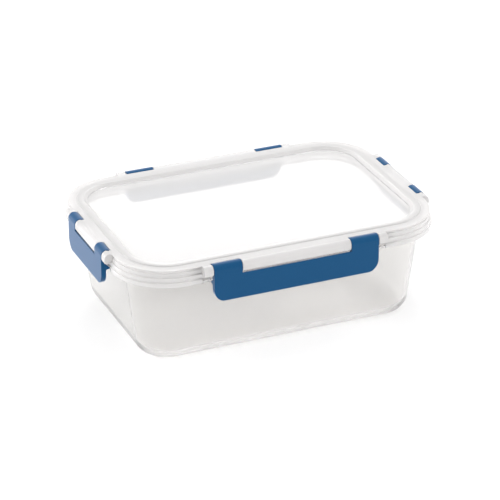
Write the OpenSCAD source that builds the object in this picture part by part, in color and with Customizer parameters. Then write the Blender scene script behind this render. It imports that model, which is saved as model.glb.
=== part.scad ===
// Rectangular food container: a clear tub, a clear lid with a seal, and four snap latches.
// Millimetres. +Z is up, X is the length, the front faces -Y, and the tub rests on z = 0.
// Cross-sections are drawn as [out, up]: "out" is measured outwards from the base outline.

/* [Tub] */
// Length of the base outline, before the walls lean out
base_l = 198; // [180:1:240]
// Width of the base outline, before the walls lean out
base_w = 126; // [110:1:160]
// Corner radius of the base outline
corner_r = 21.5; // [20:0.5:24]
// Height of the tub, to the top of its rim
tub_h = 70.4; // [60:0.1:90]
// Thickness of the walls
wall_t = 2.2; // [1.8:0.1:2.4]
// Thickness of the floor
floor_t = 2.6; // [2:0.1:4]
// Radius of the edge between floor and walls
bottom_r = 15; // [8:0.5:18]
// How far the walls lean out, in degrees
draft = 7.4; // [6.8:0.1:7.4]
// Reach of the rim flange that the latches hook under
flange_out = 14.9; // [14.7:0.1:14.9]
// Thickness of the rim flange
flange_t = 2.3; // [1.8:0.1:2.5]

/* [Lid] */
// Thickness of the lid's panel
panel_t = 1.8; // [1.4:0.1:2.2]
// Depth of the panel below the raised ridge
panel_drop = 2.2; // [1.5:0.1:2.4]
// Height of the step from the ridge down to the rim
ridge_step = 0.8; // [0.4:0.1:1]
// Reach of the outer edge of the lid's rim
rim_out = 15; // [14.8:0.1:15.2]
// Depth of the lid's skirt, from the top of the ridge
skirt_h = 12.6; // [12.2:0.1:13.4]

/* [Latches] */
// Length of the front and back latches
long_latch = 119; // [90:1:124]
// Length of each ear on the front and back latches
long_ear = 20; // [12:0.5:25]
// Length of the left and right latches
short_latch = 64; // [50:1:66]
// Length of each ear on the left and right latches
short_ear = 12.8; // [10:0.2:16]
// Height of a latch
latch_h = 26.7; // [24:0.1:30]
// Thickness of a latch's plate
latch_t = 3.5; // [3:0.1:3.6]
// Radius of a latch's lower corners
latch_corner = 9; // [4:0.5:10]
// Radius of the barrel that an ear curls into
barrel_r = 4; // [3.8:0.1:4]
// Radius of the hinge rod in the lid
rod_r = 1.7; // [1.5:0.1:1.9]

/* [Hidden] */
$fn = 96;

half_l = base_l / 2;
half_w = base_w / 2;

// Tub
rim_in = 6.3;                         // inner face of the rim's upstand
rim_t = 2.2;                          // thickness of the upstand
rim_edge = 0.6;                       // softening of the upstand's top edges
flange_top = tub_h - 5.6;
flange_low = flange_top - flange_t;
flange_bevel = 1;                     // bevel under the flange's edge, where a hook slides up
wall_lean = tan(draft);

// Lid
lid_top = tub_h + 5.9;
panel_top = lid_top - panel_drop;
panel_low = panel_top - panel_t;
panel_edge = 1.4;                     // where the flat panel ends
ridge_in = 4.2;                       // inner edge of the ridge's flat top
ridge_out = 8.3;                      // outer edge of the ridge's flat top
step_l = 1;                           // width of the step beside the ridge
rim_top = lid_top - ridge_step;
rim_low = rim_top - 1.6;              // underside of the rim, outside the ribs
rim_r = 0.5;                          // rounding of the rim's outer edge
channel_in = 5.3;                     // inner wall of the seal's channel
channel_out = 9.7;                    // outer wall of the seal's channel
channel_top = tub_h + 4.1;
rib_t = 1.4;                          // thickness of the ribs beside the channel
inner_rib_low = tub_h - 2.8;
outer_rib_low = tub_h - 2;
skirt_t = 1.5;
skirt_low = lid_top - skirt_h;
band_out = 0.85;                      // each band of the skirt stands out this much further
band_1_up = skirt_low + 6;            // where the upper band starts, and where the lower one does
band_2_up = skirt_low + 2.7;
band_step = 0.7;                      // height of the slope above a band
inner_step = 0.4;                     // the skirt's inner face steps this much above the outer one
groove_d = 0.9;                       // depth of the groove below the rim's edge
groove_top = rim_top - rim_r - 0.1;
groove_low = groove_top - 1.7;
groove_edge = 0.3;

// Seal
gasket_gap = 0.05;                    // side clearance in the channel
gasket_low = tub_h + 0.2;
gasket_edge = 0.6;

// Latches and hinges
latch_out = 20.4;                     // outer face of a latch
latch_in = latch_out - latch_t;
hinge_out = latch_out - barrel_r;     // the hinge axis
hinge_up = lid_top - 0.1 - barrel_r;
latch_low = hinge_up + barrel_r - latch_h;
bar_top = hinge_up - barrel_r - 0.3;  // top of the plate between the ears
bore_r = rod_r + 0.05;
mouth_w = 2.7;                        // width of the slot that snaps over the rod
mouth_turn = 215;                     // direction of that slot: inwards and down
hook_l = 3;                           // reach of the hook
hook_top = flange_low + 2.6;
hook_tip_up = flange_low - 0.2;
hook_tip_t = 0.3;
hook_low = flange_low - 1.1;
hook_inset = 1.5;                     // the hook stops this short of the latch's ends
plate_edge = 1;                       // bevels on the plate's bottom edge
sweep_r = barrel_r + 1.6;             // the plate's top edge keeps outside this radius
knuckle_r = 3.8;
knuckle_low = hinge_up - 3.3;         // underside of the knuckle, a slit above the plate
knuckle_edge = 0.6;                   // bevel of the knuckle's lower outer edge
side_gap = 0.4;                       // clearance at each end of an ear
pocket_r = barrel_r + 0.35;
lug_l = 6.5;                          // length of the lid's lug outside each ear
block_in = 11;                        // the hinge block starts at the outer rib
block_top = rim_top - 0.3;
cut_in = channel_out + rib_t + 0.6;   // the skirt is cut away from here, and below cut_top,
cut_top = outer_rib_low - 1.3;        // at the latches
over = 1;                             // how far a cutter runs past what it cuts

// A point on the inner or outer surface of the leaning wall, "off" inwards, at height "up"
function wall_at(up, off) = [up * wall_lean - off / cos(draft), up];

// Centre of the arc of radius r that meets a floor at height "low" and the wall at "off" inwards
function edge_centre(off, low, r) = [(low + r) * wall_lean - (off + r) / cos(draft), low + r];

function arc(centre, r, from, to, n) =
    [for (i = [0:n]) let (a = from + (to - from) * i / n) centre + r * [cos(a), sin(a)]];

// An S-shaped step from one point to another, level at both ends
function s_step(from, to, n) =
    [for (i = [0:n]) let (t = i / n, s = t * t * (3 - 2 * t))
        [from[0] + (to[0] - from[0]) * t, from[1] + (to[1] - from[1]) * s]];

// Half of the outline that a side of the container lies at, and the length of its straight run
function side_half(turn) = turn % 180 == 0 ? half_l : half_w;
function side_run(turn) = 2 * ((turn % 180 == 0 ? half_w : half_l) - corner_r);

// Puts its children on one side: 0 is right, 90 is back, 180 is left, 270 is front.
// There x points outwards from the base outline and y runs along the side.
module on_side(turn) {
    rotate([0, 0, turn])
        translate([side_half(turn), 0, 0])
            children();
}

// Extrudes an [out, up] section along y
module along(length) {
    rotate([90, 0, 0])
        linear_extrude(height = length, center = true)
            children();
}

// Sweeps an [out, up] section round the whole outline
module swept() {
    for (turn = [0:90:270]) {
        on_side(turn)
            along(side_run(turn))
                children();
    }
    for (i = [0:3]) {
        translate([(i == 0 || i == 3 ? 1 : -1) * (half_l - corner_r), (i < 2 ? 1 : -1) * (half_w - corner_r), 0])
            rotate([0, 0, 90 * i])
                rotate_extrude(angle = 90)
                    translate([corner_r, 0])
                        children();
    }
}

// Fills the middle of a swept plate
module middle(low, top) {
    translate([corner_r - half_l, corner_r - half_w, low])
        cube([base_l - 2 * corner_r, base_w - 2 * corner_r, top - low]);
}

// ---- tub ----

module tub_section() {
    inner_r = bottom_r - wall_t;
    rim_out_face = rim_in + rim_t;
    polygon(concat(
        [[-corner_r, 0]],
        arc(edge_centre(0, 0, bottom_r), bottom_r, -90, -draft, 8),
        [
            wall_at(flange_low, 0),
            [flange_out - flange_bevel, flange_low],
            [flange_out, flange_low + flange_bevel],
            [flange_out, flange_top],
            [rim_out_face, flange_top],
            [rim_out_face, tub_h - rim_edge],
            [rim_out_face - rim_edge, tub_h],
            [rim_in + rim_edge, tub_h],
            [rim_in, tub_h - rim_edge],
            [rim_in, (rim_in + wall_t / cos(draft)) / wall_lean]
        ],
        arc(edge_centre(wall_t, floor_t, inner_r), inner_r, -draft, -90, 8),
        [[-corner_r, floor_t]]
    ));
}

module tub() {
    color([0.93, 0.94, 0.95, 0.45]) {
        swept()
            tub_section();
        middle(0, floor_t);
    }
}

// ---- lid ----

module lid_section() {
    band_1 = rim_out + band_out;
    band_2 = band_1 + band_out;
    inner_1_up = band_1_up + inner_step;
    inner_2_up = band_2_up + inner_step;
    polygon(concat(
        [[-corner_r, panel_top]],
        s_step([panel_edge, panel_top], [ridge_in, lid_top], 6),
        s_step([ridge_out, lid_top], [ridge_out + step_l, rim_top], 4),
        arc([rim_out - rim_r, rim_top - rim_r], rim_r, 90, 0, 4),
        [
            [rim_out, groove_top],
            [rim_out - groove_d, groove_top - groove_edge],
            [rim_out - groove_d, groove_low + groove_edge],
            [rim_out, groove_low],
            [rim_out, band_1_up + band_step],
            [band_1, band_1_up],
            [band_1, band_2_up + band_step],
            [band_2, band_2_up],
            [band_2, skirt_low],
            [band_2 - skirt_t, skirt_low],
            [band_2 - skirt_t, inner_2_up],
            [band_1 - skirt_t, inner_2_up + band_step],
            [band_1 - skirt_t, inner_1_up],
            [rim_out - skirt_t, inner_1_up + band_step],
            [rim_out - skirt_t, rim_low],
            [channel_out + rib_t, rim_low],
            [channel_out + rib_t, outer_rib_low],
            [channel_out, outer_rib_low],
            [channel_out, channel_top],
            [channel_in, channel_top],
            [channel_in, inner_rib_low],
            [channel_in - rib_t, inner_rib_low],
            [channel_in - rib_t, panel_low],
            [-corner_r, panel_low]
        ]
    ));
}

// The block that carries one latch: round on top, flat outside, and faired into the rim
module hinge_section() {
    knuckle_out = hinge_out + knuckle_r;
    difference() {
        union() {
            translate([hinge_out, hinge_up])
                circle(r = knuckle_r);
            polygon([
                [block_in, block_top],
                [block_in, knuckle_low],
                [knuckle_out - knuckle_edge, knuckle_low],
                [knuckle_out, knuckle_low + knuckle_edge],
                [knuckle_out, hinge_up],
                [hinge_out, hinge_up],
                [hinge_out, block_top]
            ]);
        }
        translate([hinge_out - knuckle_r, knuckle_low - over])
            square([2 * knuckle_r, over]);
    }
}

function hinge_run(length) = length + 2 * (side_gap + lug_l);

// Below the hinge the skirt makes room for the latch and its hook
module skirt_cutter(length) {
    translate([cut_in, -hinge_run(length) / 2, skirt_low - over])
        cube([latch_out + over - cut_in, hinge_run(length), cut_top - skirt_low + over]);
}

// Room for the ears' barrels, and for the plate below them
module ear_pockets(length, ear) {
    pocket_l = ear + 2 * side_gap;
    for (end = [-1, 1]) {
        translate([hinge_out, end * (length - ear) / 2, hinge_up]) {
            rotate([90, 0, 0])
                cylinder(r = pocket_r, h = pocket_l, center = true);
            translate([0, -pocket_l / 2, -pocket_r])
                cube([pocket_r, pocket_l, pocket_r]);
        }
    }
}

module hinge_rod(length) {
    translate([hinge_out, 0, hinge_up])
        rotate([90, 0, 0])
            cylinder(r = rod_r, h = length + lug_l, center = true);
}

module lid() {
    color([0.95, 0.96, 0.97, 0.6]) {
        difference() {
            union() {
                swept()
                    lid_section();
                middle(panel_low, panel_top);
                for (turn = [0:90:270]) {
                    on_side(turn)
                        along(hinge_run(latch_length(turn)))
                            hinge_section();
                }
            }
            for (turn = [0:90:270]) {
                on_side(turn) {
                    skirt_cutter(latch_length(turn));
                    ear_pockets(latch_length(turn), ear_length(turn));
                }
            }
        }
        for (turn = [0:90:270]) {
            on_side(turn)
                hinge_rod(latch_length(turn));
        }
    }
}

// ---- seal ----

module gasket() {
    low_in = channel_in + gasket_gap;
    low_out = channel_out - gasket_gap;
    color([0.9, 0.92, 0.93])
        swept()
            polygon([
                [low_in, channel_top],
                [low_in, gasket_low + gasket_edge],
                [low_in + gasket_edge, gasket_low],
                [low_out - gasket_edge, gasket_low],
                [low_out, gasket_low + gasket_edge],
                [low_out, channel_top]
            ]);
}

// ---- latches ----

function latch_length(turn) = turn % 180 == 0 ? short_latch : long_latch;
function ear_length(turn) = turn % 180 == 0 ? short_ear : long_ear;

module latch_section() {
    difference() {
        union() {
            translate([hinge_out, hinge_up])
                circle(r = barrel_r);
            polygon([
                [latch_in, latch_low + plate_edge],
                [latch_in + plate_edge, latch_low],
                [latch_out - plate_edge, latch_low],
                [latch_out, latch_low + plate_edge],
                [latch_out, hinge_up],
                [latch_in, hinge_up]
            ]);
        }
        translate([hinge_out, hinge_up])
            circle(r = bore_r);
        translate([hinge_out, hinge_up])
            rotate(mouth_turn)
                translate([0, -mouth_w / 2])
                    square([barrel_r + over, mouth_w]);
    }
}

module hook_section() {
    polygon([
        [latch_in + over, hook_low],
        [latch_in, hook_low],
        [latch_in - hook_l, hook_tip_up - hook_tip_t],
        [latch_in - hook_l, hook_tip_up],
        [latch_in, hook_top],
        [latch_in + over, hook_top]
    ]);
}

// What is cut from a square corner to round it, drawn for the corner at [0, 0]
module corner_waste() {
    difference() {
        translate([-over, -over])
            square(latch_corner + over);
        translate([latch_corner, latch_corner])
            circle(r = latch_corner);
    }
}

// The gap between the ears, which leaves room for the lid's knuckle at every angle
module notch(length) {
    translate([hinge_out - barrel_r - over, -length / 2, bar_top])
        cube([2 * (barrel_r + over), length, latch_h]);
    along(length)
        translate([hinge_out, hinge_up])
            circle(r = sweep_r);
}

module latch(length, ear) {
    difference() {
        union() {
            along(length)
                latch_section();
            along(length - 2 * hook_inset)
                hook_section();
        }
        notch(length - 2 * ear);
        for (end = [0, 1]) {
            mirror([0, end, 0])
                translate([latch_in - over, -length / 2, latch_low])
                    rotate([90, 0, 90])
                        linear_extrude(height = latch_t + 2 * over)
                            corner_waste();
        }
    }
}

module latch_on(turn) {
    color([0.13, 0.33, 0.6])
        on_side(turn)
            latch(latch_length(turn), ear_length(turn));
}

module latch_front() {
    latch_on(270);
}

module latch_back() {
    latch_on(90);
}

module latch_left() {
    latch_on(180);
}

module latch_right() {
    latch_on(0);
}

tub();
lid();
gasket();
latch_front();
latch_back();
latch_left();
latch_right();
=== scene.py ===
"""Looks of the snap lid food container: clear tub and lid, silicone seal, four blue snap latches.

Cross-sections are drawn in millimetres as (out, up, radius): out is measured outwards from the
tub's base outline, up from the surface that it stands on, and radius rounds that corner.
"""

import math

import bmesh
import bpy
from mathutils import Matrix, Vector


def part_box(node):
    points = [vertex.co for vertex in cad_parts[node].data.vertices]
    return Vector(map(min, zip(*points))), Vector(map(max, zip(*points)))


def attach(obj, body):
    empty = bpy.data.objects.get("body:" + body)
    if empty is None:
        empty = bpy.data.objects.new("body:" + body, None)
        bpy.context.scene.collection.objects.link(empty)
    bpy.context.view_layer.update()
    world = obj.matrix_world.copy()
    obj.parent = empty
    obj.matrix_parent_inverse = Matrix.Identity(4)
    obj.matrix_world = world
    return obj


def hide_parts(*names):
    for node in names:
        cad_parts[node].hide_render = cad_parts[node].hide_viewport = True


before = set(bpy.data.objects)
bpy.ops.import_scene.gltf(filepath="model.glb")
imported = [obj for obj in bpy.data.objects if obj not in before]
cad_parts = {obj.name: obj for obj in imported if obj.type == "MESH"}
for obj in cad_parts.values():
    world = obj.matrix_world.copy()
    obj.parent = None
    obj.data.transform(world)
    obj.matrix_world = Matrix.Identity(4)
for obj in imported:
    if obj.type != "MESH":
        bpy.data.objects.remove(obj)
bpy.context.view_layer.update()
MM = 0.001

# ---- sizes, in millimetres, from the frame where it holds them ----

tub_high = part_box("tub")[1] / MM
lid_low, lid_high = (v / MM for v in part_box("lid"))
seal_low, seal_high = (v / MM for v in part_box("gasket"))
long_low, long_high = (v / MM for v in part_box("latch_front"))
short_low, short_high = (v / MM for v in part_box("latch_right"))

# tub
FLANGE_OUT = 14.9
HALF_L = tub_high.x - FLANGE_OUT
HALF_W = tub_high.y - FLANGE_OUT
CORNER_R = 21.5
CORNER_STEPS = 24
MIDDLE = 1 - CORNER_R  # where a plate's section ends, and its flat middle is filled in

TUB_H = tub_high.z
DRAFT = math.radians(7.4)
WALL_T = 2.2
FLOOR_T = 2.6
BOTTOM_R = 15
FLANGE_TOP = TUB_H - 5.6
FLANGE_LOW = FLANGE_TOP - 2.3
FLANGE_CUT = 1
RIM_IN = 6.3
RIM_OUT_FACE = 8.5

# lid
LID_TOP = lid_high.z
SKIRT_LOW = lid_low.z
PANEL_TOP = LID_TOP - 2.2
PANEL_EDGE = 1.6
PANEL_LOW = PANEL_TOP - 1.8
RIDGE_IN = 4
RIDGE_OUT = 8.4
RIDGE_FOOT = 9.1
LID_RIM_TOP = LID_TOP - 0.8
LID_RIM_UNDER = LID_RIM_TOP - 1.6
LID_RIM_OUT = 15
GROOVE_D = 0.9
GROOVE_TOP = LID_RIM_TOP - 0.6
GROOVE_LOW = GROOVE_TOP - 1.7
GROOVE_SLOPE = 0.3
BAND_OUT = 0.85
CREASE_D = 0.35
BAND_1 = LID_RIM_OUT + BAND_OUT
BAND_2 = BAND_1 + BAND_OUT
BAND_1_UP = SKIRT_LOW + 6
BAND_2_UP = SKIRT_LOW + 2.7
SKIRT_T = 1.5
CHANNEL_IN = 5.3
CHANNEL_OUT = 9.7
CHANNEL_TOP = seal_high.z
SEAL_GAP = 0.05
RIB_T = 1.4
RIB_IN_LOW = TUB_H - 2.8
RIB_OUT_LOW = TUB_H - 2

# latches and their hinges
LATCH_OUT = short_high.x - HALF_L
LATCH_IN = LATCH_OUT - 3.5
LATCH_TOP = long_high.z
LATCH_LOW = long_low.z
LATCH_CORNER = 9
LONG_LATCH = long_high.x - long_low.x
SHORT_LATCH = short_high.y - short_low.y
LONG_EAR = 20
SHORT_EAR = 12.8
BARREL_R = 4
HINGE_OUT = LATCH_OUT - BARREL_R
HINGE_UP = LATCH_TOP - BARREL_R
BAR_TOP = HINGE_UP - BARREL_R - 0.3
SWEEP_R = BARREL_R + 1.6
ROD_R = 1.7
BORE_R = 1.75
MOUTH_W = 2.7
MOUTH_TURN = math.radians(215)
HOOK_L = 3
HOOK_TOP = FLANGE_LOW + 2.6
HOOK_LOW = FLANGE_LOW - 1.1
TIP_TOP = FLANGE_LOW - 0.2
TIP_LOW = FLANGE_LOW - 0.5
LATCH_FOOT_R = 1.2
LATCH_EDGE = 0.35
KNUCKLE_R = 3.8
KNUCKLE_LOW = HINGE_UP - 3.3
KNUCKLE_ROOT = 11  # where the knuckles and lugs start, inside the lid's rim
KNUCKLE_ROOT_TOP = LID_RIM_TOP - 0.8
KNUCKLE_EDGE = 0.35
EAR_GAP = 0.4
LUG_L = 6.5
LUG_EDGE = 0.8
POCKET_R = BARREL_R + 0.35
ROOM_IN = CHANNEL_OUT + RIB_T + 0.6
ROOM_TOP = TUB_H - 3.3

# meshes
OVERRUN = 1  # how far a cutter runs past the surface that it cuts
CUT_PLAY = 0.03  # keeps the ends of a cut off the ends of what is added in it
SLIVER = 0.002  # points closer than this are made one
SHARP = math.radians(40)  # an edge that turns more than this is rounded
STRAIGHT = 0.01  # a corner that turns less than this, in radians, isn't
ROUND_SHARE = 0.499  # the most of a side that the rounding of one corner takes
LEAST_R = 0.05
ARC_STEP = math.radians(15)
FINE_ARC_STEP = math.radians(8)
CIRCLE_STEPS = 36
GRAIN_DEPTH = 0.2

SIDES = {"right": 0, "back": 90, "left": 180, "front": 270}

# ---- sections ----


def round_corner(here, before, after, radius, step):
    """The arc that rounds the corner at here, with before and after the ways to its neighbours."""
    turn = math.pi - before.angle(after)
    if radius <= 0 or turn < STRAIGHT:
        return [here]
    reach = radius * math.tan(turn / 2)
    limit = ROUND_SHARE * min(before.length, after.length)
    if reach > limit:
        radius *= limit / reach
        reach = limit
    start = here + before.normalized() * reach
    end = here + after.normalized() * reach
    inward = (before.normalized() + after.normalized()).normalized()
    centre = here + inward * (radius / math.cos(turn / 2))
    steps = max(2, math.ceil(turn / step))
    a = (start - centre).angle_signed(end - centre)
    spoke = start - centre
    return [centre + Matrix.Rotation(-a * k / steps, 2) @ spoke for k in range(steps + 1)]


def rounded(corners, step=ARC_STEP):
    """The closed outline through (x, y, radius) corners, with each corner rounded by an arc."""
    points = [Vector(corner[:2]) for corner in corners]
    outline = []
    for i, here in enumerate(points):
        before = points[i - 1] - here
        after = points[(i + 1) % len(points)] - here
        outline += round_corner(here, before, after, corners[i][2], step)
    return outline


def arc(centre, radius, start, end, steps):
    """Points on an arc, as corners with no rounding of their own."""
    return [
        (
            centre[0] + radius * math.cos(start + (end - start) * k / steps),
            centre[1] + radius * math.sin(start + (end - start) * k / steps),
            0,
        )
        for k in range(steps + 1)
    ]


def wall_at(up, inwards=0.0):
    """A point on the tub's leaning wall."""
    return (up * math.tan(DRAFT) - inwards / math.cos(DRAFT), up)


# ---- mesh builders ----


def outline_ring(out, up):
    """The base outline grown by out, as points at height up, all in metres."""
    radius = max(CORNER_R + out, LEAST_R)
    points = []
    for quarter, (sx, sy) in enumerate(((1, 1), (-1, 1), (-1, -1), (1, -1))):
        centre = Vector((sx * (HALF_L - CORNER_R), sy * (HALF_W - CORNER_R)))
        for k in range(CORNER_STEPS + 1):
            a = math.pi / 2 * (quarter + k / CORNER_STEPS)
            points.append(
                Vector((centre.x + radius * math.cos(a), centre.y + radius * math.sin(a), up)) * MM
            )
    return points


def how_far_out(point):
    """How far a point in metres lies outside the base outline, in millimetres."""
    x = abs(point.x) / MM - HALF_L + CORNER_R
    y = abs(point.y) / MM - HALF_W + CORNER_R
    return (math.hypot(x, y) if min(x, y) > 0 else max(x, y)) - CORNER_R


def new_piece(name, bm):
    """A smooth-shaded object from a bmesh, with its faces turned outwards."""
    bmesh.ops.recalc_face_normals(bm, faces=bm.faces)
    for face in bm.faces:
        face.smooth = True
    mesh = bpy.data.meshes.new(name)
    bm.to_mesh(mesh)
    bm.free()
    piece = bpy.data.objects.new(name, mesh)
    bpy.context.scene.collection.objects.link(piece)
    return piece


def swept(name, section, capped=False):
    """Sweeps a section round the outline. A capped one is a plate: its two ends are filled in."""
    bm = bmesh.new()
    rings = [[bm.verts.new(p) for p in outline_ring(*point)] for point in section]
    size = len(rings[0])
    for i in range(len(rings) - 1 if capped else len(rings)):
        here, there = rings[i], rings[(i + 1) % len(rings)]
        for k in range(size):
            bm.faces.new((here[k], here[(k + 1) % size], there[(k + 1) % size], there[k]))
    if capped:
        bm.faces.new(rings[0])
        bm.faces.new(rings[-1])
    return new_piece(name, bm)


def prism(name, near, far, edge=0.0):
    """The solid between two matching loops in millimetres, with the edges of its ends softened."""
    bm = bmesh.new()
    here, there = ([bm.verts.new(Vector(p) * MM) for p in loop] for loop in (near, far))
    size = len(here)
    for k in range(size):
        bm.faces.new((here[k], here[(k + 1) % size], there[(k + 1) % size], there[k]))
    ends = [bm.faces.new(loop) for loop in (here, there)]
    if edge:
        rims = [e for face in ends for e in face.edges]
        bmesh.ops.bevel(bm, geom=rims, offset=edge * MM, segments=3, affect="EDGES", profile=0.5)
    return new_piece(name, bm)


def extruded(name, section, start, end, edge=0.0):
    """A section in the plane (out, up), extruded along the side."""
    near, far = ([(p[0], along, p[1]) for p in section] for along in (start, end))
    return prism(name, near, far, edge)


def side_place(turn):
    """Carries a piece drawn at a side (out, along, up) to its place: 0 right, 90 back, 180 left."""
    half = HALF_L if turn % 180 == 0 else HALF_W
    return Matrix.Rotation(math.radians(turn), 4, "Z") @ Matrix.Translation((half * MM, 0, 0))


def latch_sizes(turn):
    """The length of the latch on a side, and of each of its ears."""
    return (SHORT_LATCH, SHORT_EAR) if turn % 180 == 0 else (LONG_LATCH, LONG_EAR)


def apply_modifiers(piece):
    """Replaces the piece's mesh by what its modifiers make of it."""
    graph = bpy.context.evaluated_depsgraph_get()
    made = bpy.data.meshes.new_from_object(piece.evaluated_get(graph))
    old = piece.data
    piece.modifiers.clear()
    piece.data = made
    bpy.data.meshes.remove(old)


def combine(piece, others, operation):
    """Joins the others to the piece, or cuts them from it, and removes them."""
    for other in others:
        step = piece.modifiers.new(operation, "BOOLEAN")
        step.operation = operation
        step.solver = "MANIFOLD"
        step.object = other
        apply_modifiers(piece)
        bpy.data.objects.remove(other)


def soften(piece, width):
    """Rounds the piece's sharp edges."""
    bevel = piece.modifiers.new("edges", "BEVEL")
    bevel.width = width * MM
    bevel.segments = 3
    bevel.limit_method = "ANGLE"
    bevel.angle_limit = SHARP
    bevel.miter_outer = "MITER_ARC"
    apply_modifiers(piece)


def clean(piece):
    """Removes the slivers that cutting and joining leave."""
    bm = bmesh.new()
    bm.from_mesh(piece.data)
    bmesh.ops.remove_doubles(bm, verts=bm.verts, dist=SLIVER * MM)
    bmesh.ops.dissolve_degenerate(bm, edges=bm.edges, dist=SLIVER * MM)
    bm.to_mesh(piece.data)
    bm.free()


def drop_islands(piece):
    """Keeps only the largest connected surface, without the specks that joining leaves."""
    bm = bmesh.new()
    bm.from_mesh(piece.data)
    unseen = set(bm.verts)
    islands = []
    while unseen:
        island, front = [], [unseen.pop()]
        while front:
            vert = front.pop()
            island.append(vert)
            near = {edge.other_vert(vert) for edge in vert.link_edges} & unseen
            front += near
            unseen -= near
        islands.append(island)
    islands.sort(key=len)
    specks = [vert for island in islands[:-1] for vert in island]
    bmesh.ops.delete(bm, geom=specks, context="VERTS")
    bm.to_mesh(piece.data)
    bm.free()


def even_shading(piece):
    """Keeps flat faces flat beside their rounded edges."""
    weighted = piece.modifiers.new("shading", "WEIGHTED_NORMAL")
    weighted.keep_sharp = True
    apply_modifiers(piece)


# ---- materials ----


def new_material(name):
    """An empty material, with its nodes, its links and its output."""
    material = bpy.data.materials.new(name)
    material.use_nodes = True
    nodes = material.node_tree.nodes
    nodes.clear()
    output = nodes.new("ShaderNodeOutputMaterial")
    return material, nodes, material.node_tree.links, output


def surface_grain(nodes, links, scale, strength):
    """A fine bump that follows the piece."""
    place = nodes.new("ShaderNodeTexCoord")
    noise = nodes.new("ShaderNodeTexNoise")
    noise.inputs["Scale"].default_value = scale
    noise.inputs["Detail"].default_value = 3
    bump = nodes.new("ShaderNodeBump")
    bump.inputs["Strength"].default_value = strength
    bump.inputs["Distance"].default_value = GRAIN_DEPTH * MM
    links.new(place.outputs["Object"], noise.inputs["Vector"])
    links.new(noise.outputs["Fac"], bump.inputs["Height"])
    return noise, bump


def clear_plastic(name, colour, through, roughness, shadow):
    """Clear moulded plastic.

    through is the share of light that it passes, with the rest as haze, and shadow is how much
    light it lets through to what it shades.
    """
    material, nodes, links, output = new_material(name)
    plastic = nodes.new("ShaderNodeBsdfPrincipled")
    plastic.inputs["Base Color"].default_value = (*colour, 1)
    plastic.inputs["Transmission Weight"].default_value = through
    plastic.inputs["IOR"].default_value = 1.5
    cloud = nodes.new("ShaderNodeMapRange")
    cloud.inputs["To Min"].default_value = 0.5 * roughness
    cloud.inputs["To Max"].default_value = 1.5 * roughness
    noise, bump = surface_grain(nodes, links, scale=45, strength=0.01)
    links.new(noise.outputs["Fac"], cloud.inputs["Value"])
    links.new(cloud.outputs["Result"], plastic.inputs["Roughness"])
    links.new(bump.outputs["Normal"], plastic.inputs["Normal"])
    passing = nodes.new("ShaderNodeBsdfTransparent")
    passing.inputs["Color"].default_value = (shadow, shadow, shadow, 1)
    rays = nodes.new("ShaderNodeLightPath")
    mix = nodes.new("ShaderNodeMixShader")
    links.new(rays.outputs["Is Shadow Ray"], mix.inputs["Fac"])
    links.new(plastic.outputs["BSDF"], mix.inputs[1])
    links.new(passing.outputs["BSDF"], mix.inputs[2])
    links.new(mix.outputs["Shader"], output.inputs["Surface"])
    return material


def latch_plastic():
    """Blue moulded plastic with a fine satin texture and slight mottling."""
    material, nodes, links, output = new_material("latch_blue")
    plastic = nodes.new("ShaderNodeBsdfPrincipled")
    plastic.inputs["Roughness"].default_value = 0.38
    plastic.inputs["Specular IOR Level"].default_value = 0.15
    plastic.inputs["Sheen Weight"].default_value = 1
    plastic.inputs["Sheen Roughness"].default_value = 0.33
    plastic.inputs["Sheen Tint"].default_value = (0.72, 0.8, 1, 1)
    noise, bump = surface_grain(nodes, links, scale=900, strength=0.12)
    ramp = nodes.new("ShaderNodeValToRGB")
    ramp.color_ramp.elements[0].color = (0.001, 0.064, 0.175, 1)
    ramp.color_ramp.elements[1].color = (0.003, 0.08, 0.205, 1)
    links.new(noise.outputs["Fac"], ramp.inputs["Fac"])
    links.new(ramp.outputs["Color"], plastic.inputs["Base Color"])
    links.new(bump.outputs["Normal"], plastic.inputs["Normal"])
    links.new(plastic.outputs["BSDF"], output.inputs["Surface"])
    return material


def silicone():
    """Translucent white silicone."""
    material, nodes, links, output = new_material("silicone")
    rubber = nodes.new("ShaderNodeBsdfPrincipled")
    rubber.inputs["Base Color"].default_value = (0.96, 0.96, 0.965, 1)
    rubber.inputs["Roughness"].default_value = 0.5
    rubber.inputs["Transmission Weight"].default_value = 0.1
    rubber.inputs["IOR"].default_value = 1.41
    _, bump = surface_grain(nodes, links, scale=400, strength=0.1)
    links.new(bump.outputs["Normal"], rubber.inputs["Normal"])
    links.new(rubber.outputs["BSDF"], output.inputs["Surface"])
    return material


TUB_PLASTIC = clear_plastic(
    "tub_clear", (0.865, 0.855, 0.846), through=0.88, roughness=0.12, shadow=0.9
)
PANEL_PLASTIC = clear_plastic(
    "lid_clear", (0.95, 0.944, 0.944), through=0.72, roughness=0.05, shadow=0.9
)
RIM_PLASTIC = clear_plastic(
    "lid_milky", (0.88, 0.866, 0.862), through=0.38, roughness=0.2, shadow=0.62
)
LATCH_PLASTIC = latch_plastic()
SILICONE = silicone()


def finish_piece(piece, material, body, node):
    """Gives a piece its material, and its place in the frame instead of a CAD node."""
    piece.data.materials.clear()
    piece.data.materials.append(material)
    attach(piece, body)
    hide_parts(node)


# ---- tub ----


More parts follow.
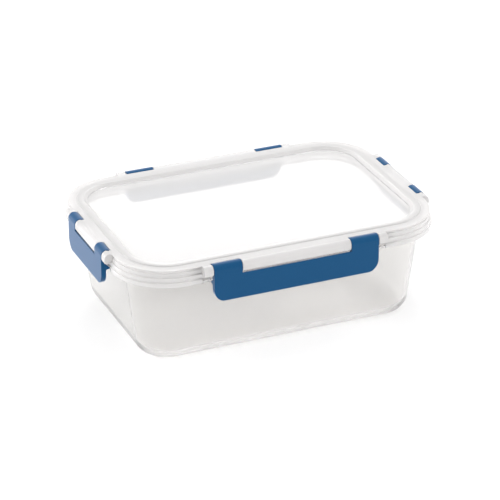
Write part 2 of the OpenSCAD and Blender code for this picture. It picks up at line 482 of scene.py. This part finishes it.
def tub_section():
    """The tub from the middle of its underside, over the flange and rim, and back inside."""
    join_up = (RIM_IN + WALL_T / math.cos(DRAFT)) / math.tan(DRAFT)
    return rounded(
        [
            (MIDDLE, 0, 0),
            (*wall_at(0), BOTTOM_R),
            (*wall_at(FLANGE_LOW), 0.8),
            (FLANGE_OUT - FLANGE_CUT, FLANGE_LOW, 0.4),
            (FLANGE_OUT, FLANGE_LOW + FLANGE_CUT, 0.4),
            (FLANGE_OUT, FLANGE_TOP, 0.5),
            (RIM_OUT_FACE, FLANGE_TOP, 0.6),
            (RIM_OUT_FACE, TUB_H, 0.7),
            (RIM_IN, TUB_H, 0.7),
            (RIM_IN, join_up, 2),
            (*wall_at(FLOOR_T, WALL_T), BOTTOM_R - WALL_T),
            (MIDDLE, FLOOR_T, 0),
        ],
        FINE_ARC_STEP,
    )


def make_tub():
    piece = swept("tub_shell", tub_section(), capped=True)
    even_shading(piece)
    finish_piece(piece, TUB_PLASTIC, "tub", "tub")


# ---- lid ----


def band_step(inner, outer, up):
    """The crease above a band of the skirt, and the band's rounded upper edge."""
    return [(inner, up + 1.2, 0.4), (inner - CREASE_D, up + 0.8, 0.15), (outer, up + 0.3, 0.5)]


def skirt_corners():
    """The lid's skirt, down its outer face with the groove and bands, and up its inner face."""
    return [
        (LID_RIM_OUT, GROOVE_TOP, 0.2),
        (LID_RIM_OUT - GROOVE_D, GROOVE_TOP - GROOVE_SLOPE, 0.15),
        (LID_RIM_OUT - GROOVE_D, GROOVE_LOW + GROOVE_SLOPE, 0.15),
        (LID_RIM_OUT, GROOVE_LOW, 0.4),
        *band_step(LID_RIM_OUT, BAND_1, BAND_1_UP),
        *band_step(BAND_1, BAND_2, BAND_2_UP),
        (BAND_2, SKIRT_LOW, 0.5),
        (BAND_2 - SKIRT_T, SKIRT_LOW, 0.5),
        (BAND_2 - SKIRT_T, BAND_2_UP + 0.4, 0.3),
        (BAND_1 - SKIRT_T, BAND_2_UP + 1.1, 0.3),
        (BAND_1 - SKIRT_T, BAND_1_UP + 0.4, 0.3),
        (LID_RIM_OUT - SKIRT_T, BAND_1_UP + 1.1, 0.3),
        (LID_RIM_OUT - SKIRT_T, LID_RIM_UNDER, 0.4),
    ]


def channel_corners():
    """The seal's channel under the lid, from its outer rib to its inner one."""
    return [
        (CHANNEL_OUT + RIB_T, LID_RIM_UNDER, 0.5),
        (CHANNEL_OUT + RIB_T, RIB_OUT_LOW, 0.4),
        (CHANNEL_OUT, RIB_OUT_LOW, 0.4),
        (CHANNEL_OUT, CHANNEL_TOP, 0.3),
        (CHANNEL_IN, CHANNEL_TOP, 0.3),
        (CHANNEL_IN, RIB_IN_LOW, 0.4),
        (CHANNEL_IN - RIB_T, RIB_IN_LOW, 0.4),
        (CHANNEL_IN - RIB_T, PANEL_LOW, 0.6),
    ]


def lid_section():
    """The lid from the middle of its panel, over the ridge and rim, and back underneath."""
    return rounded(
        [
            (MIDDLE, PANEL_TOP, 0),
            (PANEL_EDGE, PANEL_TOP, 2),
            (RIDGE_IN, LID_TOP, 1.5),
            (RIDGE_OUT, LID_TOP, 0.5),
            (RIDGE_FOOT, LID_RIM_TOP, 0.5),
            (LID_RIM_OUT, LID_RIM_TOP, 0.5),
            *skirt_corners(),
            *channel_corners(),
            (MIDDLE, PANEL_LOW, 0),
        ]
    )


def hinge_section():
    """A knuckle or lug of the lid: round on top, flat outside, and faired into the rim."""
    return rounded(
        [(KNUCKLE_ROOT, KNUCKLE_LOW, 0), (HINGE_OUT + KNUCKLE_R, KNUCKLE_LOW, 1.1)]
        + arc((HINGE_OUT, HINGE_UP), KNUCKLE_R, 0, math.radians(90), 10)
        + [(KNUCKLE_ROOT, KNUCKLE_ROOT_TOP, 0)]
    )


def circle_section(radius):
    """A circle about the hinge's axis."""
    last = CIRCLE_STEPS - 1
    return arc((HINGE_OUT, HINGE_UP), radius, 0, math.tau * last / CIRCLE_STEPS, last)


def room_section():
    """What is cut from the skirt, to make room for a latch and its hinge."""
    low, out = SKIRT_LOW - OVERRUN, LATCH_OUT + OVERRUN
    return [(ROOM_IN, low), (out, low), (out, ROOM_TOP), (ROOM_IN, ROOM_TOP)]


def hinge_parts(turn):
    """What one side's hinge cuts from the lid, and what it adds: a knuckle, two lugs and a rod."""
    length, ear = latch_sizes(turn)
    lug_start = length / 2 + EAR_GAP
    lug_end = lug_start + LUG_L
    knuckle = length / 2 - ear - EAR_GAP
    rod_end = length / 2 + LUG_L / 2
    cut = [extruded("cutter", room_section(), -lug_end - CUT_PLAY, lug_end + CUT_PLAY)]
    added = [extruded("knuckle", hinge_section(), -knuckle, knuckle, KNUCKLE_EDGE)]
    for end in (-1, 1):
        lug = sorted((end * lug_start, end * lug_end))
        added.append(extruded("lug", hinge_section(), *lug, LUG_EDGE))
        pocket = sorted((end * (lug_start - CUT_PLAY), end * (knuckle + CUT_PLAY)))
        cut.append(extruded("pocket", circle_section(POCKET_R), *pocket))
    added.append(extruded("rod", circle_section(ROD_R), -rod_end, rod_end))
    for part in cut + added:
        part.data.transform(side_place(turn))
    return cut, added


def make_lid():
    piece = swept("lid_shell", lid_section(), capped=True)
    cut, added = zip(*(hinge_parts(turn) for turn in SIDES.values()))
    combine(piece, sum(cut, []), "DIFFERENCE")
    combine(piece, sum(added, []), "UNION")
    drop_islands(piece)
    even_shading(piece)
    finish_piece(piece, PANEL_PLASTIC, "lid", "lid")
    piece.data.materials.append(RIM_PLASTIC)
    for face in piece.data.polygons:
        face.material_index = int(how_far_out(face.center) > PANEL_EDGE)


# ---- seal ----


def make_seal():
    seal_in, seal_out = CHANNEL_IN + SEAL_GAP, CHANNEL_OUT - SEAL_GAP
    section = rounded(
        [
            (seal_in, CHANNEL_TOP, 0.2),
            (seal_in, seal_low.z, 0.7),
            (seal_out, seal_low.z, 0.7),
            (seal_out, CHANNEL_TOP, 0.2),
        ]
    )
    piece = swept("seal_ring", section)
    even_shading(piece)
    finish_piece(piece, SILICONE, "lid", "gasket")


# ---- latches ----


def hook_corners():
    """The inner face of a latch from above its hook down, and its lower edge."""
    return [
        (LATCH_IN, HOOK_TOP, 0.5),
        (LATCH_IN - HOOK_L, TIP_TOP, 0.15),
        (LATCH_IN - HOOK_L, TIP_LOW, 0.15),
        (LATCH_IN, HOOK_LOW, 0.8),
        (LATCH_IN, LATCH_LOW, LATCH_FOOT_R),
        (LATCH_OUT, LATCH_LOW, LATCH_FOOT_R),
    ]


def ear_section():
    """A latch's section at an ear: the plate, curling into a slotted barrel."""
    axis = (HINGE_OUT, HINGE_UP)
    outside = math.asin(MOUTH_W / 2 / BARREL_R)
    inside = math.asin(MOUTH_W / 2 / BORE_R)
    meets = math.tau - math.acos((LATCH_IN - HINGE_OUT) / BARREL_R)
    return rounded(
        arc(axis, BARREL_R, 0, MOUTH_TURN - outside, 20)
        + arc(axis, BORE_R, MOUTH_TURN - inside, MOUTH_TURN + inside - math.tau, 24)
        + arc(axis, BARREL_R, MOUTH_TURN + outside, meets, 5)
        + hook_corners()
    )


def notch_section():
    """The gap between a latch's ears, which leaves room for the knuckle at every angle."""
    inner = HINGE_OUT - BARREL_R - OVERRUN
    outer = LATCH_OUT + OVERRUN
    top = LATCH_TOP + OVERRUN
    reach = math.acos((HINGE_UP - BAR_TOP) / SWEEP_R)
    down = math.radians(-90)
    return rounded(
        [(inner, top, 0), (inner, BAR_TOP, 0)]
        + arc((HINGE_OUT, HINGE_UP), SWEEP_R, down - reach, down + reach, 16)
        + [(outer, BAR_TOP, 0), (outer, top, 0)]
    )


def corner_waste(end, length):
    """What is cut from a lower corner of the plate to round it."""
    edge = end * length / 2
    past = edge + end * OVERRUN
    centre = (edge - end * LATCH_CORNER, LATCH_LOW + LATCH_CORNER)
    bend = arc((0, 0), LATCH_CORNER, math.radians(-90), 0, 12)
    corners = [(past, LATCH_LOW - OVERRUN), (centre[0], LATCH_LOW - OVERRUN)]
    corners += [(centre[0] + end * x, centre[1] + y) for x, y, _ in bend]
    corners.append((past, centre[1]))
    faces = (LATCH_IN - OVERRUN, LATCH_OUT + OVERRUN)
    near, far = ([(out, along, up) for along, up in corners] for out in faces)
    return prism("waste", near, far)


def make_latch(side, turn):
    length, ear = latch_sizes(turn)
    piece = extruded("latch_" + side + "_snap", ear_section(), -length / 2, length / 2)
    notch = extruded("notch", notch_section(), ear - length / 2, length / 2 - ear)
    combine(piece, [notch, corner_waste(-1, length), corner_waste(1, length)], "DIFFERENCE")
    soften(piece, LATCH_EDGE)
    clean(piece)
    piece.data.transform(side_place(turn))
    even_shading(piece)
    finish_piece(piece, LATCH_PLASTIC, side + "_latch", "latch_" + side)


# ---- stage, lights and camera ----


def make_stage():
    """A matt white floor, just under the tub."""
    bpy.ops.mesh.primitive_plane_add(size=12, location=(0, 0, -0.2 * MM))
    floor = bpy.context.object
    floor.name = "floor"
    material, nodes, links, output = new_material("floor")
    paper = nodes.new("ShaderNodeBsdfPrincipled")
    paper.inputs["Base Color"].default_value = (0.95, 0.95, 0.95, 1)
    paper.inputs["Roughness"].default_value = 0.9
    paper.inputs["Specular IOR Level"].default_value = 0.1
    links.new(paper.outputs["BSDF"], output.inputs["Surface"])
    floor.data.materials.append(material)


def make_light(name, place, size, power, aim):
    """A round studio light at a place, turned to a point."""
    light = bpy.data.lights.new(name, "AREA")
    light.shape = "DISK"
    light.size = size
    light.energy = power
    lamp = bpy.data.objects.new(name, light)
    lamp.location = place
    lamp.rotation_euler = (Vector(aim) - Vector(place)).to_track_quat("-Z", "Y").to_euler()
    bpy.context.scene.collection.objects.link(lamp)


def make_world():
    """A white studio that darkens towards the horizon, which draws the edges of clear plastic."""
    world = bpy.data.worlds.new("studio")
    world.use_nodes = True
    nodes, links = world.node_tree.nodes, world.node_tree.links
    place = nodes.new("ShaderNodeTexCoord")
    split = nodes.new("ShaderNodeSeparateXYZ")
    ramp = nodes.new("ShaderNodeValToRGB")
    ramp.color_ramp.elements[0].position = 0
    ramp.color_ramp.elements[0].color = (0.75, 0.75, 0.75, 1)
    ramp.color_ramp.elements[1].position = 0.3
    ramp.color_ramp.elements[1].color = (0.95, 0.95, 0.95, 1)
    links.new(place.outputs["Generated"], split.inputs["Vector"])
    links.new(split.outputs["Z"], ramp.inputs["Fac"])
    links.new(ramp.outputs["Color"], nodes["Background"].inputs["Color"])
    nodes["Background"].inputs["Strength"].default_value = 1.05
    bpy.context.scene.world = world


def make_lights():
    make_world()
    make_light("key", (0.5, 1.2, 1.8), size=1.2, power=12, aim=(0, 0, 0.03))
    make_light("fill", (-1.3, 1, 0.3), size=1, power=14, aim=(0, 0, 0.05))
    make_light("side", (1.8, -0.5, 0.7), size=1, power=8, aim=(0, 0, 0.05))
    bpy.context.scene.view_settings.view_transform = "Standard"
    bpy.context.scene.cycles.max_bounces = 24
    bpy.context.scene.cycles.transmission_bounces = 24
    bpy.context.scene.cycles.transparent_max_bounces = 24


def make_camera():
    """A long lens at the photograph's height and side, framed on a 500 by 500 image."""
    azimuth, elevation = math.radians(-23.23), math.radians(26.18)
    distance = 1.729
    aim = Vector((0, 0, 0.04))
    back = Vector(
        (
            math.sin(azimuth) * math.cos(elevation),
            -math.cos(azimuth) * math.cos(elevation),
            math.sin(elevation),
        )
    )
    data = bpy.data.cameras.new("camera")
    data.lens = 179.8
    data.sensor_width = 36
    data.shift_x = 0.0038
    data.shift_y = -0.0022
    camera = bpy.data.objects.new("camera", data)
    camera.location = aim + back * distance
    camera.rotation_euler = (-back).to_track_quat("-Z", "Y").to_euler()
    bpy.context.scene.collection.objects.link(camera)
    bpy.context.scene.camera = camera


make_tub()
make_lid()
make_seal()
for side, turn in SIDES.items():
    make_latch(side, turn)
make_stage()
make_lights()
make_camera()
